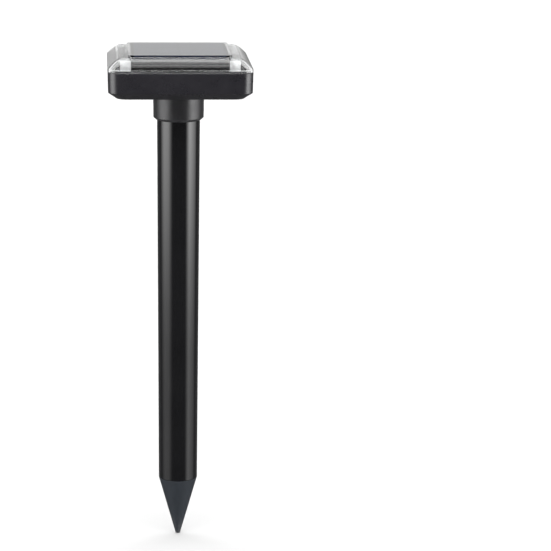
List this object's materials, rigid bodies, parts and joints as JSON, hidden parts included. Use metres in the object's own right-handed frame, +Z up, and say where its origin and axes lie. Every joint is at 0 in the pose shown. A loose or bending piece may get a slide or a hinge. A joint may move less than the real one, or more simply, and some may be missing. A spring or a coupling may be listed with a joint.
{
  "type": "solar stake pest repeller",
  "caption": "Square solar-powered head with a sloped clear cover and round collar on a hollow tapered stake with a conical spike, holding an ultrasonic sounder; the head lifts off.",
  "frame": {"origin": "middle of the blunt end of the spike, the lowest point of the object", "axes": "+Z up the stake towards the head, -Y towards the front of the head"},
  "size_m": [0.099, 0.099, 0.354],
  "materials": {
    "base_plastic": "matte",
    "collar_plastic": "satin",
    "tube_plastic": "gloss",
    "spike_plastic": "matte",
    "clear_plastic": "polished",
    "inner_plastic": "satin",
    "seal_rubber": "matte",
    "button_rubber": "matte",
    "foam": "matte",
    "solar_cells": "gloss",
    "board_laminate": "satin",
    "chip_epoxy": "matte",
    "coil_copper": "satin",
    "capacitor_can": "gloss",
    "diode_glass": "polished",
    "cell_sleeve": "gloss",
    "nickel": "satin",
    "screw_zinc": "satin",
    "disc_brass": "satin",
    "wafer_ceramic": "matte",
    "wire_red": "satin",
    "wire_black": "satin"
  },
  "bodies": {
    "stake": {"stake_tube": "tube_plastic", "spike_tip": "spike_plastic", "tube_top_cap": "inner_plastic", "jack_socket": "inner_plastic", "jack_centre_pin": "nickel", "sounder_cup": "inner_plastic", "sounder_disc": "disc_brass", "piezo_wafer": "wafer_ceramic", "sounder_foam": "foam", "sounder_lead_red": "wire_red", "sounder_lead_black": "wire_black"},
    "head": {"head_base": "base_plastic", "neck_collar": "collar_plastic", "panel_deck": "inner_plastic", "panel_tape": "foam", "solar_panel": "solar_cells", "clear_cover": "clear_plastic", "cover_seal": "seal_rubber", "cover_screw_1": "screw_zinc", "cover_screw_2": "screw_zinc", "cover_screw_3": "screw_zinc", "cover_screw_4": "screw_zinc", "jack_plug_body": "inner_plastic", "jack_plug_barrel": "nickel", "jack_lead_red": "wire_red", "jack_lead_black": "wire_black", "circuit_board": "board_laminate", "driver_chip": "chip_epoxy", "boost_coil": "coil_copper", "storage_capacitor": "capacitor_can", "charge_diode": "diode_glass", "switch_body": "chip_epoxy", "battery_holder": "inner_plastic", "battery_cell": "cell_sleeve", "battery_contact": "nickel", "battery_spring": "nickel", "battery_lead_red": "wire_red", "battery_lead_black": "wire_black", "panel_lead_red": "wire_red", "panel_lead_black": "wire_black"},
    "button": {"power_button": "button_rubber"}
  },
  "joints": [
    {"name": "head_lift", "type": "slide", "parent": "stake", "child": "head", "axis": [0, 0, 1], "range_m": [0, 0.03]},
    {"name": "button_press", "type": "slide", "parent": "head", "child": "button", "axis": [0, 0, 1], "range_m": [0, 0.0012], "stiffness_N_per_m": 150, "springref_m": -0.001}
  ]
}
